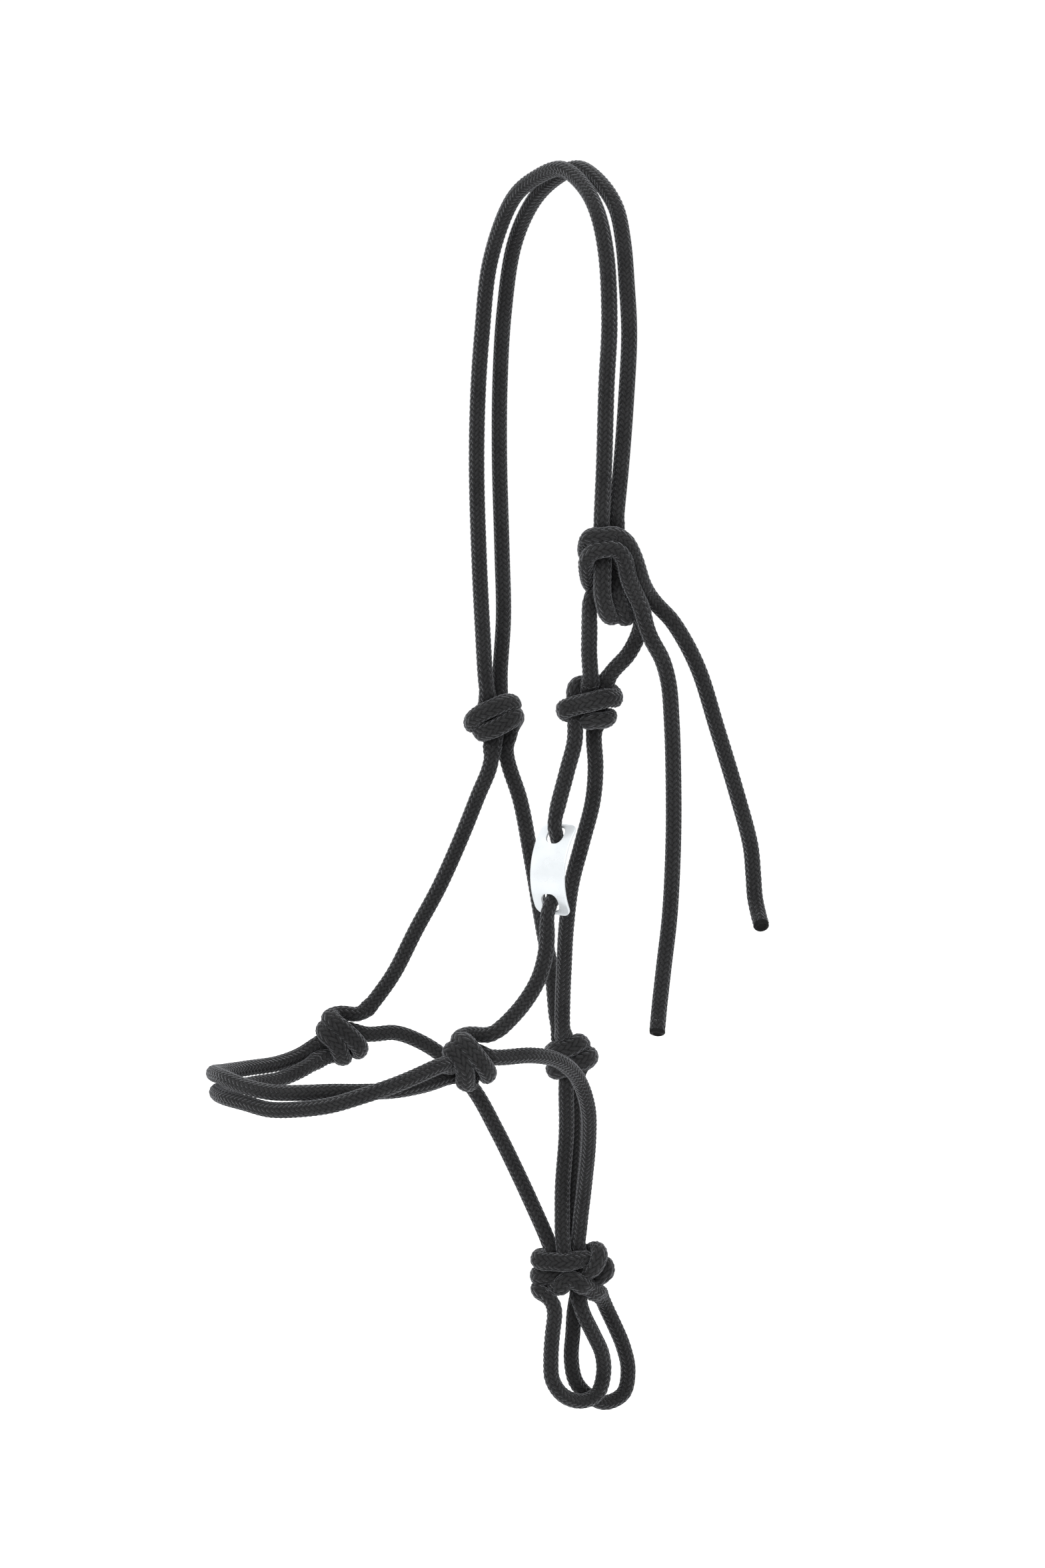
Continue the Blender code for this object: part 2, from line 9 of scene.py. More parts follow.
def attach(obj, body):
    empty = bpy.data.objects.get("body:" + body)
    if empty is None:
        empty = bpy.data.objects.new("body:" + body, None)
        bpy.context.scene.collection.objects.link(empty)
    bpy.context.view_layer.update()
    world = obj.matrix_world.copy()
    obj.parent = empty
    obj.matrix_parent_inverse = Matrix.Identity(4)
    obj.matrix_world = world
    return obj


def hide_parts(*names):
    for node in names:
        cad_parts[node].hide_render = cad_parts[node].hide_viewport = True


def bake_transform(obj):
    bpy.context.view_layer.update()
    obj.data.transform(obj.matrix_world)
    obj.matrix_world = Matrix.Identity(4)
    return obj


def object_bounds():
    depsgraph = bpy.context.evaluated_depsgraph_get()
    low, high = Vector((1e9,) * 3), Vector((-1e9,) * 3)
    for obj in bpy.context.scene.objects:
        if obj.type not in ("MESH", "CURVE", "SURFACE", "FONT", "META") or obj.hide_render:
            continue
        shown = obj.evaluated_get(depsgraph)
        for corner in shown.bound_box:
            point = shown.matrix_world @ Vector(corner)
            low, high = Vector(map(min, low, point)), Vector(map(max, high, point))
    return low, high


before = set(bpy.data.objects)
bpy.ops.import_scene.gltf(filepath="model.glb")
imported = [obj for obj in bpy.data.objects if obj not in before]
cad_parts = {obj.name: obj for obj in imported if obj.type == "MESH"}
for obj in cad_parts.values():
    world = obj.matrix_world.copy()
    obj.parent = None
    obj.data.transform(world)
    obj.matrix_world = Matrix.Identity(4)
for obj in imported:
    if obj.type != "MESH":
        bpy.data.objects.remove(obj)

CAD_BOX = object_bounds()
MM = 0.001

# ---------------------------------------------------------------- cord
ROPE_DIAMETER = 8.4
CORE_RADIUS = 4.0         # to the bottom of the creases between yarns
BRAID_HEIGHT = 0.48       # how far a yarn stands out of its crease
CARRIERS = 12             # yarns that wind each way
YARN_ROUNDNESS = 0.7      # power of the hump across a yarn: less is flatter with steeper sides
FLOAT_ROUNDNESS = 0.6     # the same along a yarn's float
FLOAT_LOWEST = 0.25       # a yarn's height where it dives under, as a share of its full height
YARN_PITCH = 3.2          # spacing of the yarns along the cord
RING_STEP = 0.62
SIDES = 44
PIECE_INSET = 8.0         # how far inside a knot a strand's piece ends
TIP_LENGTH = 7.0
QUARTER_TURN = -28.0      # degrees about Z: the knots' broad faces are turned this far forward
KNOT_BROADER = 0.24       # how much broader than outside a knot the pressed cord lies on its surface
KNOT_THINNER = 0.04       # how much thinner it is through the knot
PRESSED_LENGTH = 9.0      # how far inside a knot the cord is pressed fully

# ---------------------------------------------------------------- routes of the strands
STRANDS = {
    "crown_strand_front": [
        (-24.5, 54, -288), (-23.5, 60, -258), (-22, 67, -219), (-21, 72, -166), (-19, 74, -125),
        (-17, 73, -92), (-15.5, 65.5, -50), (-12.5, 44, -14.5), (-9, 21, -1), (-6, 0, 4.2),
        (-5, -21, -2.5), (-7, -42, -16), (-10, -58, -38), (-14.5, -70, -74), (-19.5, -76, -107),
        (-22.5, -79, -150), (-24.5, -80, -181)],
    "crown_strand_rear": [
        (-12.6, 60, -289), (-9, 62.5, -250), (-7.5, 67, -215), (-6.5, 72, -160), (-5, 74, -118),
        (-3.5, 72, -80), (-2.5, 62, -42), (-1.5, 41, -16), (1, 18, -1.5), (3.2, -2, 4.4),
        (4.5, -23, -1.5), (4.2, -43, -14.5), (1.3, -56.5, -32), (-1.7, -66, -54), (-4, -73, -80),
        (-8, -77, -115), (-12, -79, -150), (-14.8, -79, -176)],
    "tie_loop_front": [(-23, -65, -263), (-25.2, -67.5, -251), (-26.2, -70, -239)],
    "tie_loop_rear": [(-11.8, -68, -264), (-5.8, -76, -254), (-2, -78, -246.5)],
    "cheek_strand_far": [
        (-21, 54, -331), (-28, 57, -350), (-37, 62, -376), (-48, 67, -403), (-60, 72, -427),
        (-73, 75, -452), (-85, 76, -467)],
    "throat_strand_far": [
        (-9, 58, -332), (-4, 52, -354), (-3, 40, -387), (-5, 21.5, -425), (-4.5, 12, -450),
        (-4, 7.5, -475)],
    "cheek_strand_near": [
        (-30, -62, -299), (-37, -64, -318), (-43.5, -67, -338), (-46, -69, -355), (-49, -71, -373),
        (-51.5, -73.5, -395), (-56, -76, -412), (-61, -77, -427), (-70, -77, -440), (-82, -77, -451)],
    "throat_strand_near": [
        (-16, -56, -301), (-13, -53, -318), (-12.5, -49, -338), (-15.5, -42, -363), (-18, -35, -386),
        (-17, -27, -412), (-13.5, -18, -437), (-10.5, -11, -457), (-8.5, -7, -474)],
    "nose_strand_upper": [
        (-128, 76, -492), (-147, 71, -495), (-170, 62, -493.5), (-192.5, 46.5, -490), (-208, 26, -485),
        (-213, 2, -482), (-208.5, -19, -483.6), (-201, -33, -484.3), (-191, -47, -482.8),
        (-178, -58.7, -481.2), (-163, -66.7, -481.2), (-145, -71, -481.5), (-125, -70, -480.3),
        (-116, -68.5, -479)],
    "nose_strand_lower": [
        (-131, 67, -498), (-150, 62, -501.8), (-168, 55.5, -501), (-188, 43.5, -498.8), (-207, 24, -495),
        (-213, 1, -492.8), (-209.5, -18, -492.5), (-203, -34.5, -493.3), (-193.5, -51.5, -490.7),
        (-182, -67.5, -486.3), (-167.5, -76.8, -480.8), (-150, -81, -475.8), (-130, -80, -470.5),
        (-122, -78.5, -468.5)],
    "chin_strand_far": [
        (-88, 76, -486), (-73, 75, -486), (-60, 72, -491), (-46, 66, -501), (-33, 54, -519),
        (-25, 41, -541), (-19, 25, -565), (-15, 11, -585), (-12, 4.5, -597)],
    "chin_strand_near": [
        (-83, -72, -470), (-61, -67, -472), (-39, -57, -479), (-20, -45, -493), (-7, -34, -514),
        (-1, -24, -536), (3, -12, -565), (3.5, -6.5, -586), (3.5, -4.5, -597)],
    "fiador_strand_left": [
        (-3, -1, -510), (-1, 2, -536), (-4, 1, -568), (-5.5, -1.5, -586), (-6, -2.5, -597)],
    "fiador_strand_right": [
        (8, 9, -513), (9, 10, -539), (6, 8, -570), (3, 6, -589), (1.5, 5, -597)],
    "lead_loop_front": [
        (-11, -4, -635), (-13, -4, -651), (-14, -4, -666), (-13, -4, -678), (-6, -4, -688),
        (6, -4, -693), (16, -4, -690), (20, -4, -679), (19, -4, -667), (13, -4, -654), (5, -4, -638)],
    "lead_loop_rear": [
        (6, 5, -640), (5, 5, -655), (4, 5, -670), (7, 5, -684), (16, 5, -694), (27, 5, -699),
        (38, 5, -695), (41, 5, -682), (38, 5, -668), (31, 5, -652), (25, 5, -640)],
    "tail_long": [
        (-1, -90, -241), (6, -92, -254), (10.5, -92, -268), (12.6, -92, -289), (13.8, -92, -318),
        (14, -92, -355), (12, -92, -396), (7.8, -93, -425), (3, -97, -445), (-2.5, -104, -459)],
    "tail_short": [
        (5, -84, -224), (13, -88, -233), (21, -91, -246), (30, -92, -264), (40, -93, -294),
        (52.5, -94, -332), (61.5, -94, -362), (62.8, -95, -378), (62.2, -98, -390), (61, -104, -398.5),
        (58.8, -111.5, -404)],
}

# ---------------------------------------------------------------- knots
# Each knot: its centre, and the runs of cord through it. A run is (strand coming in, its end, points,
# strand going out, its end); an end is 0 or -1. Points are (right, up, out) from the centre, out being
# the knot's broad face. In an overhand the two cords go down the core, round the foot, over the face
# side by side and out behind. In the crown tie the doubled crown comes down in front of the tie loop's
# bend, turns up behind it and comes round over its own front to the right, where its ends leave. In
# the lead knot four cords wind round one another and leave downwards as the two loops.
KNOTS = {
    "cheek_knot_far": ((-18, 57, -308), [
        ("crown_strand_front", 0, [
            (-3.5, 15, 3), (-2.5, 7, -3), (-6.5, -0.5, -8), (-11.5, -3.5, -4), (-12.5, 0.5, 3),
            (-7, 5.5, 8), (0.5, 9, 9), (7, 11, 4), (9, 9.5, -3), (4, 2.5, -9), (-1, -6, -5),
            (-1, -13.5, 1)],
         "cheek_strand_far", 0),
        ("crown_strand_rear", 0, [
            (4.5, 14, -4), (4, 6.5, -3), (-0.5, -2, -4), (-6.5, -7.5, -3), (-7, -6.5, 3),
            (-1, -4, 9), (6.5, 0, 9), (12, 2.5, 4), (12.5, 2.5, -3), (11, -3.5, -9),
            (7.5, -8.5, -7), (6, -13, -4)],
         "throat_strand_far", 0)]),
    "cheek_knot_near": ((-20, -60, -282), [
        ("tie_loop_front", 0, [
            (0, 14, 4), (0.5, 6.5, -2), (-5, -3.5, -7), (-12, -6, -4), (-12.5, -1.5, 3),
            (-6.5, 1, 8), (1, 3, 10), (9, 4.5, 6), (12, 3.5, -1), (7, 6, -8), (-2, 8.5, -7),
            (-8, 9, -2), (-9, 4, -1), (-7, -4, -1), (-7.5, -11.5, 3)],
         "cheek_strand_near", 0),
        ("tie_loop_rear", 0, [
            (8, 12, 0), (5.5, 4.5, -4), (1.5, -4.5, -4), (-3.5, -9, 0), (-1, -8.5, 5), (5, -8, 6),
            (9.5, -8.5, 1), (8.5, -7.5, -6), (3.5, -10.5, -9), (1.5, -14, -5)],
         "throat_strand_near", 0)]),
    "nose_knot_far": ((-106, 73, -485.5), [
        ("nose_strand_lower", 0, [
            (-14.5, -10, 10), (-8.5, -8, 3), (-1.5, -11, -3), (-2.5, -10.5, 3), (-2, -3, 9),
            (-6.5, 2.5, 10), (-10.5, 5, 4), (-9.5, 5.5, -4), (-2, 3.5, -8), (7, 1, -8)],
         "chin_strand_far", 0),
        ("nose_strand_upper", 0, [
            (-14.5, -3, 4), (-5.5, -1.5, -1), (5, -5.5, -6), (9.5, -8, -2), (8.5, -2, 6),
            (2.5, 5, 9), (-3.5, 10, 8), (-8, 11.5, 2), (-5.5, 13, -4), (0, 13.5, -6), (6, 12, -8),
            (12.5, 13, -11)],
         "cheek_strand_far", -1)]),
    "nose_knot_near": ((-101.5, -73, -471), [
        ("nose_strand_upper", -1, [
            (-11, -7, 0), (-4, -6, -5), (0.5, -10.5, -4), (-2.5, -11, 2), (-2, -3, 8),
            (-5.5, 4, 9), (-10, 7, 3), (-7.5, 7.5, -4), (0.5, 4, -8), (9, 2.5, -4)],
         "chin_strand_near", 0),
        ("nose_strand_lower", -1, [
            (-11, 2.5, 8), (-5, 2, 2), (5.5, -3, -5), (10.5, -7, -1), (8.5, -0.5, 6), (3, 7, 9),
            (-2.5, 11.5, 7), (-6, 12.5, 1), (-3, 15, -4), (3, 15, -6), (8.5, 14.5, -5),
            (14, 16, -3)],
         "cheek_strand_near", -1)]),
    "throat_knot": ((-0.5, 2, -495), [
        ("throat_strand_far", -1, [
            (-4, 14.5, -4), (-4, 7, -7), (-7, 2, -6), (-9, 5, 0), (-4.5, 9, 6), (3, 11.5, 7),
            (8, 10.5, 0), (7, 3.5, -8), (0, -2.5, -7), (-1, -7, 2)],
         "fiador_strand_left", 0),
        ("throat_strand_near", -1, [
            (-2, 14.5, 8), (-0.5, 5.5, 1), (-2.5, -2.5, -2), (-7.5, -6.5, -1), (-3.5, -4.5, 6),
            (4.5, -0.5, 9), (11, 2, 6), (13.5, 2, -2), (8.5, -4, -11), (5, -11, -11)],
         "fiador_strand_right", 0)]),
    "crown_tie_knot": ((-16, -79, -210), [
        ("crown_strand_front", -1, [
            (-7, 22.5, 2), (-6.5, 13.5, 2), (-6.5, 3.5, 6), (-6.5, -9, 7), (-4, -18.5, 4),
            (-1, -23, -4), (-3.5, -17, -11), (-8.5, -10, -12), (-13.5, -3.5, -6), (-15, 3, 1),
            (-15, 10.5, 7), (-10.5, 15.5, 10), (-4, 17.5, 11), (2.5, 15.5, 10), (6.5, 9.5, 8),
            (8.5, 0.5, 6), (11.5, -9.5, 4), (15.5, -20.5, 2)],
         "tail_long", 0),
        ("crown_strand_rear", -1, [
            (0.5, 26, -3), (-2, 16, -6), (-3.5, 7.5, -5), (-1.5, 0, -3), (1, -8, -1),
            (3.5, -15, 1), (6.5, -21, 0), (7.5, -23, -7), (3, -16.5, -12), (-2.5, -6, -14),
            (-9.5, 3.5, -13), (-14.5, 11.5, -8), (-15, 18, -1), (-13, 22.5, 4), (-7.5, 24.5, 6),
            (0, 24, 6), (5.5, 20.5, 6), (9.5, 12.5, 4), (12.5, 3, 3), (16.5, -6, -2)],
         "tail_short", 0),
        ("tie_loop_front", -1, [
            (-13.5, -20.5, -2), (-12, -12.5, -3), (-6.5, -8, -4), (1, -9.5, -3), (8.5, -14, -2),
            (13.5, -20.5, -4), (14.5, -28.5, -6)],
         "tie_loop_rear", -1)]),
    "lead_knot": ((2, 0, -617), [
        ("chin_strand_far", -1, [
            (-11.5, 13.5, 3), (-8, 4.5, -3), (-5, -0.5, -2), (-10.5, -1, 5), (-18, -2.5, 2),
            (-20, -6, -5), (-16, -10, -9), (-19.5, -10.5, -2), (-18, -12, 5), (-14, -12.5, 8),
            (-10.5, -15, 8)],
         "lead_loop_front", 0),
        ("fiador_strand_left", -1, [
            (-6, 12.5, 5), (-6.5, 5.5, -4), (-13, 5, -9), (-19.5, 7.5, -1), (-15, 7.5, 6),
            (-7.5, 8, 10), (1, 8.5, 8), (6.5, 9, 2), (5.5, 3, -4), (2.5, -6.5, -1), (3.5, -15, 0)],
         "lead_loop_front", -1),
        ("chin_strand_near", -1, [
            (2.5, 13, 2), (5, 7, -4), (10, 8.5, -7), (14.5, 12, -2), (15, 9.5, 6), (11, 3.5, 7),
            (5, -1.5, 2), (-2.5, -8.5, -2), (-9, -9.5, 1), (-6, -3.5, 9), (1, -2.5, 10),
            (7.5, -6.5, 4), (12, -12, -4), (16.5, -17.5, -11)],
         "lead_loop_rear", -1),
        ("fiador_strand_right", -1, [
            (-2.5, 13, -5), (2.5, 4.5, -12), (12.5, 1.5, -12), (19, 2, -4), (19.5, -1, 2),
            (14.5, -4.5, 1), (8.5, -9.5, -6), (3, -16.5, -9)],
         "lead_loop_rear", 0)]),
}

# ---------------------------------------------------------------- name plate
PLATE_LENGTH = 54.0       # along its bend
PLATE_WIDTH = 23.0
PLATE_THICKNESS = 1.5
PLATE_EDGE = 0.4          # rounding of its edges
PLATE_BEND_RADIUS = 36.0
PLATE_BAR = 2.5           # metal left at each end, past the slot
PLATE_SLOT_LENGTH = 10.5
PLATE_SLOT_WIDTH = 11.0
PLATE_CORNER = 5.0
PLATE_CUTS = 36           # parts that the plate is cut into along its bend
PLATE_CREASE = 40.0       # degrees: a sharper edge than this isn't shaded smooth
CORNER_STEP = 9           # degrees between the points of a rounded corner
SLOT_ROUNDNESS = 0.42     # corner radius of a slot, as a share of its length
PLATE_HEIGHT = -369.0     # Z of its middle, on the near cheek strand
PLATE_STANDOFF = 5.3      # its middle in front of the strand's mean line
PLATE_TURN = -66.0        # degrees about Z: the way the plate's convex face looks
PLATE_REACH = 12          # the plate lies along the strand's direction over this far each way
# The cord's weave through the plate: (distance along from the plate's middle, depth behind its middle)
PLATE_WEAVE = [(24.5, 3.0), (19.0, 5.0), (13.5, 7.7), (5.0, 7.0)]
WEAVE_MARGIN = 9.0        # how far past the weave the strand's own points begin
SQUEEZED = 0.9            # the cord's thickness in the plate, as a share of its own
SQUEEZE_MARGIN = 8.0      # how far past the plate's ends the cord is squeezed

# ---------------------------------------------------------------- sealed ends
TIP_LIP = 1.9             # length of the melted lip
# Rings of the lip and the dished face: (depth behind the end, radius)
TIP_PROFILE = [(1.8, 4.3), (1.3, 4.34), (0.8, 4.25), (0.35, 3.98), (0.08, 3.55), (0.0, 3.1),
               (0.25, 2.65), (0.8, 2.3), (1.1, 1.6), (1.2, 0.5)]
TIP_WAVES = [(0.10, 3, 0.6), (0.07, 5, 2.1), (0.04, 11, 0.0)]   # uneven melting: size, count, phase
TIP_WAVY_RADIUS = 3.0     # nearer the middle than this the waves fade out
TIP_RIM_RADIUS = 4.3      # inside this the face waves along the cord too
TIP_RIM_SHARE = 0.8       # by this share of the waves' size

# ---------------------------------------------------------------- camera, floor and light, in metres
CAMERA_AZIMUTH = -28.0
CAMERA_ELEVATION = 10.0
CAMERA_DISTANCE = 3.0
CAMERA_LENS = 126.1
CAMERA_AIM = (-0.05085, -0.03905, -0.32687)
FLOOR_SIZE = 30.0
FLOOR_DROP = 0.05
WORLD_LIGHT = 1.1
SENSOR_WIDTH = 36.0       # mm
# Each lamp: azimuth, elevation, distance, size, power
LAMPS = {
    "key": (-60.0, 42.0, 2.4, 1.6, 30.0),
    "fill": (35.0, 20.0, 2.6, 1.8, 14.0),
    "back": (165.0, 50.0, 2.6, 1.6, 20.0),
}

# ---------------------------------------------------------------- stretches at the joints
NOSEBAND_BEND = (-30, -2.2, 0)   # from each joint, a stretch along the cord
LOOPS_BEND = (0, 0, -18)
TAIL_BEND = (0, 0, -30)

# ---------------------------------------------------------------- tightening
CURVE_SAMPLES = 24               # between two given points of a smooth curve
RELAX_STEP = 2.0                 # spacing of the centreline's points while it is tightened
RELAX_ROUNDS = 260
CONTACT = 0.95 * ROPE_DIAMETER   # centre to centre where two turns press together
CONTACT_SKIP = 12.0              # nearer along the cord than this isn't a contact
CONTACT_PUSH = 0.5               # share of an overlap that each turn gives way in a round
RELAX_MARGIN = 22.0              # of strand, at each side of a knot, that may give
ANCHOR_KNOT = 0.06               # pull back to the given route in a round, in a knot and outside
ANCHOR_STRAND = 0.25
TENSION = 0.03
BENDING = 0.35
SLIDE = 0.25                     # share of uneven spacing taken out in a round
EASE_LENGTH = 14.0               # each side of where the cord enters or leaves a knot
EASE_ROUNDS = 14
EASE_STEP = 0.5
NEARLY_UPRIGHT = 0.1             # sine of the angle to Z, below which the first side is taken from X
TINY = 1e-9                      # keeps a length of nothing from dividing

# ---------------------------------------------------------------- colours, linear
YARN_DARK = (0.0105, 0.0105, 0.0110, 1)
YARN_LIGHT = (0.0175, 0.0176, 0.0182, 1)
YARN_WORN = (0.0195, 0.0197, 0.0203, 1)
# painted glints: pale flecks on the yarn crowns stand in for light catching the filaments
YARN_PAINTED_GLINT = (0.070, 0.071, 0.073, 1)
# painted shade: the colour of the creases between the yarns
CREASE_PAINTED_SHADE = (0.0022, 0.0022, 0.0024, 1)
SHEEN = (0.85, 0.87, 0.92, 1)
MELTED_DARK = (0.002, 0.002, 0.002, 1)
MELTED_LIGHT = (0.007, 0.007, 0.0075, 1)
PLATE_DARK = (0.60, 0.63, 0.65, 1)
PLATE_LIGHT = (0.66, 0.69, 0.71, 1)
FLOOR = (0.93, 0.93, 0.93, 1)


def in_knot(points, centre):
    """World places of points given right, up and out from a knot's centre."""
    turn = math.radians(QUARTER_TURN)
    axes = np.array([(math.cos(turn), math.sin(turn), 0.0), (0.0, 0.0, 1.0),
                     (math.sin(turn), -math.cos(turn), 0.0)])
    return [np.array(centre) + np.array(p) @ axes for p in points]


def cord_in_order():
    """The stretches of the one cord from the long tail's free end to the short tail's, each with its
    name and points."""
    onward = {}
    for knot, (centre, runs) in KNOTS.items():
        for entry, entry_end, inside, leaving, leaving_end in runs:
            points = in_knot(inside, centre)
            onward[(entry, entry_end)] = (knot, points, (leaving, leaving_end))
            onward[(leaving, leaving_end)] = (knot, points[::-1], (entry, entry_end))
    stretches = []
    strand, start = "tail_long", -1
    while True:
        route = route_of(strand) if start == 0 else route_of(strand)[::-1]
        stretches.append((strand, [np.array(p, float) for p in route]))
        leaves = (strand, -1 if start == 0 else 0)
        if leaves not in onward:
            return stretches
        knot, points, (strand, start) = onward[leaves]
        stretches.append((knot, points))


def smooth_line(points, step):
    """Points along a smooth curve through the given ones, at about a step's spacing, and for each given
    point the length of the curve up to it."""
    p = np.array(points, float)
    p = np.vstack([2 * p[0] - p[1], p, 2 * p[-1] - p[-2]])
    fine, at_point = [p[1]], [0.0]
    for i in range(1, len(p) - 2):
        a, b, c, d = p[i - 1:i + 3]
        k0, k1, k2 = (max(math.sqrt(np.linalg.norm(q - r)), 1e-6) for q, r in ((b, a), (c, b), (d, c)))
        m1 = (c - b) - k1 * ((c - a) / (k0 + k1) - (b - a) / k0)
        m2 = (c - b) + k1 * ((d - c) / k2 - (d - b) / (k1 + k2))
        t = np.linspace(0, 1, CURVE_SAMPLES + 1)[1:, None]
        part = ((2 * t**3 - 3 * t**2 + 1) * b + (t**3 - 2 * t**2 + t) * m1
                + (3 * t**2 - 2 * t**3) * c + (t**3 - t**2) * m2)
        steps = np.diff(np.vstack([fine[-1], part]), axis=0)
        at_point.append(at_point[-1] + np.sum(np.linalg.norm(steps, axis=1)))
        fine.extend(part)
    fine = np.array(fine)
    along = lengths_along(fine)
    even = np.linspace(0, along[-1], int(round(along[-1] / step)) + 1)
    return interpolate(even, along, fine), np.array(at_point)


def lengths_along(points):
    return np.concatenate([[0.0], np.cumsum(np.linalg.norm(np.diff(points, axis=0), axis=1))])


def interpolate(at, along, values):
    return np.stack([np.interp(at, along, values[:, k]) for k in range(values.shape[1])], axis=1)


# ---------------------------------------------------------------- drawing the knots tight
class Cord:
    """The centreline, with the lengths at which each stretch begins and ends."""

    def __init__(self):
        stretches = cord_in_order()
        control = [p for _, points in stretches for p in points]
        self.points, at_point = smooth_line(control, RELAX_STEP)
        self.spans = []
        first = 0
        for name, points in stretches:
            last = first + len(points)
            self.spans.append([name, at_point[first], at_point[last - 1]])
            first = last
        for before, after in zip(self.spans, self.spans[1:]):
            if before[0] in STRANDS:
                after[1] = before[2]
            else:
                before[2] = after[1]
        self.marks = np.array([span[1] for span in self.spans] + [self.spans[-1][2]])

    def press(self):
        """At every ring how far the cord is pressed, 0 to 1, and the direction away from its knot's
        middle."""
        pressed = np.zeros(len(self.rings))
        outward = self.frames[1].copy()
        ring = np.arange(len(self.rings))
        for (name, _, _), first, last in zip(self.spans, self.ring_marks, self.ring_marks[1:]):
            if name in KNOTS:
                deep = np.minimum(ring - first, last - ring) * self.ring_step
                inside = np.clip(deep / PRESSED_LENGTH, 0, 1)
                pressed += inside * inside * (3 - 2 * inside)
                away = self.rings[first:last] - np.array(KNOTS[name][0])
                ahead = self.frames[0][first:last]
                away = away - ahead * np.sum(away * ahead, axis=1, keepdims=True)
                outward[first:last] = away / np.linalg.norm(away, axis=1, keepdims=True)
        return pressed, outward

    def tighten(self, knot):
        """Moves the knot's turns until they press together without sharp bends."""
        at = np.arange(len(self.points)) * self.points_step()
        run = np.full(len(at), -1)
        inside = np.zeros(len(at), bool)
        for k, (name, begin, end) in enumerate(self.spans):
            if name == knot:
                near = (at > begin - RELAX_MARGIN) & (at < end + RELAX_MARGIN)
                run[near] = k
                inside |= (at >= begin) & (at <= end)
        chosen = np.where(run >= 0)[0]
        p, home, where = self.points[chosen].copy(), self.points[chosen].copy(), at[chosen]
        pull = np.where(inside[chosen], ANCHOR_KNOT, ANCHOR_STRAND)[:, None]
        linked = np.diff(chosen) == 1
        apart = np.abs(where[:, None] - where[None, :]) > CONTACT_SKIP
        for _ in range(RELAX_ROUNDS):
            before, after = self.neighbours(p, linked)
            bend = (before + after) / 2 - p
            bend_before, bend_after = self.neighbours(bend, linked)
            p += TENSION * bend - BENDING * ((bend_before + bend_after) / 2 - bend)
            p += pull * (home - p)
            gap = p[:, None, :] - p[None, :, :]
            distance = np.linalg.norm(gap, axis=2) + TINY
            push = np.where(apart & (distance < CONTACT), CONTACT - distance, 0.0)
            weight = push.sum(axis=1, keepdims=True) + TINY
            p += CONTACT_PUSH * ((push * push / distance)[:, :, None] * gap).sum(axis=1) / weight
            p = self.even_out(p, linked)
            p[0], p[-1] = home[0], home[-1]
            for cut in np.where(~linked)[0]:
                p[cut], p[cut + 1] = home[cut], home[cut + 1]
        self.points[chosen] = p

    def ease(self):
        """Rounds off the cord where it enters and leaves the knots."""
        at = np.arange(len(self.points)) * self.points_step()
        reach = np.abs(at[:, None] - self.marks[None, 1:-1]).min(axis=1)
        share = np.clip(1 - reach / EASE_LENGTH, 0, 1)[1:-1, None]
        for _ in range(EASE_ROUNDS):
            middle = (self.points[:-2] + self.points[2:]) / 2
            self.points[1:-1] += EASE_STEP * share * (middle - self.points[1:-1])

    def points_step(self):
        return self.marks[-1] / (len(self.points) - 1)

    @staticmethod
    def neighbours(values, linked):
        """The value before and after each one, its own at the end of a run."""
        before, after = values.copy(), values.copy()
        before[1:][linked] = values[:-1][linked]
        after[:-1][linked] = values[1:][linked]
        return before, after

    @staticmethod
    def even_out(p, linked):
        """Slides the points along the cord towards even spacing."""
        step = np.diff(p, axis=0)
        size = np.linalg.norm(step, axis=1, keepdims=True) + TINY
        mean = size[linked].mean()
        shift = np.where(linked[:, None], SLIDE * (size - mean) * step / size, 0.0)
        p[:-1] += shift
        p[1:] -= shift
        return p

    def finish(self):
        """Fine, even rings along the whole cord, and the ring at which each stretch begins."""
        at = np.linspace(0, self.marks[-1], len(self.points))
        along = lengths_along(self.points)
        marks = np.interp(self.marks, at, along)
        line, at_point = smooth_line(self.points, RING_STEP)
        step = at_point[-1] / (len(line) - 1)
        self.rings = line
        self.ring_step = step
        self.ring_marks = np.round(np.interp(marks, along, at_point) / step).astype(int)
        self.frames = carried_frames(line)
        self.pressed, self.outward = self.press()


def carried_frames(line):
    """At each point the cord's direction and two sides, carried along without twist."""
    ahead = np.gradient(line, axis=0)
    ahead /= np.linalg.norm(ahead, axis=1, keepdims=True)
    side = np.cross(ahead[0], [0.0, 0.0, 1.0])
    if np.linalg.norm(side) < NEARLY_UPRIGHT:
        side = np.cross(ahead[0], [1.0, 0.0, 0.0])
    sides = []
    for direction in ahead:
        side = side - direction * (side @ direction)
        side = side / np.linalg.norm(side)
        sides.append(side)
    sides = np.array(sides)
    return ahead, sides, np.cross(ahead, sides)


# ---------------------------------------------------------------- braid
def braid_height(along, around):
    """How far the surface stands out of the creases, 0 to 1. Yarns wind both ways and each passes over
    two and under two, which lays them in columns of slanting floats. Both are counted in yarns."""
    one, other = around + along, around - along
    one_id, other_id = np.floor(one), np.floor(other)
    one_in, other_in = one - one_id, other - other_id
    turn = np.mod(one_id + other_id, 4)
    over = turn < 1.5
    across = np.where(over, one_in, other_in)
    along_float = (np.mod(turn, 2) + np.where(over, other_in, one_in)) / 2
    swell = FLOAT_LOWEST + (1 - FLOAT_LOWEST) * np.sin(np.pi * along_float) ** FLOAT_ROUNDNESS
    return np.sin(np.pi * across) ** YARN_ROUNDNESS * swell


